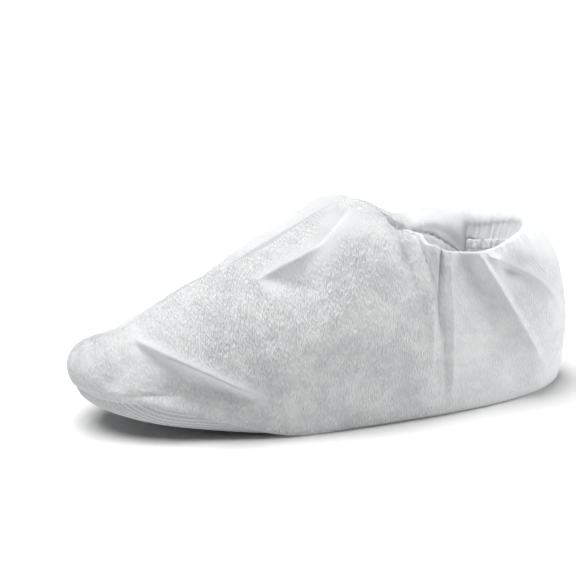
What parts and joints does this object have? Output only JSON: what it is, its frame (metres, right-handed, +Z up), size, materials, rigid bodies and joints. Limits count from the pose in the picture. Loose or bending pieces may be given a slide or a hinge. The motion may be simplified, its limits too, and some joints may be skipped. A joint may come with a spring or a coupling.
{
  "type": "shoe cover",
  "caption": "Slip-on protective shoe cover of crinkled white nonwoven cloth, with a standing instep seam, a gathered ankle opening and an embossed non-slip sole sheet.",
  "frame": {"origin": "on the flat underside of the sole below the foot's waist, on the middle line", "axes": "+X to the heel and -X to the toe, -Y to the wearer's left, +Z up"},
  "size_m": [0.3514, 0.1242, 0.1462],
  "materials": {
    "nonwoven": "matte, finely crinkled nonwoven",
    "sole_film": "coated nonwoven embossed with a diamond net",
    "hem_casing": "matte nonwoven gathered round an elastic"
  },
  "bodies": {
    "root": {"upper_left": "nonwoven", "upper_right": "nonwoven", "sole": "sole_film", "ankle_hem": "hem_casing"}
  },
  "joints": []
}
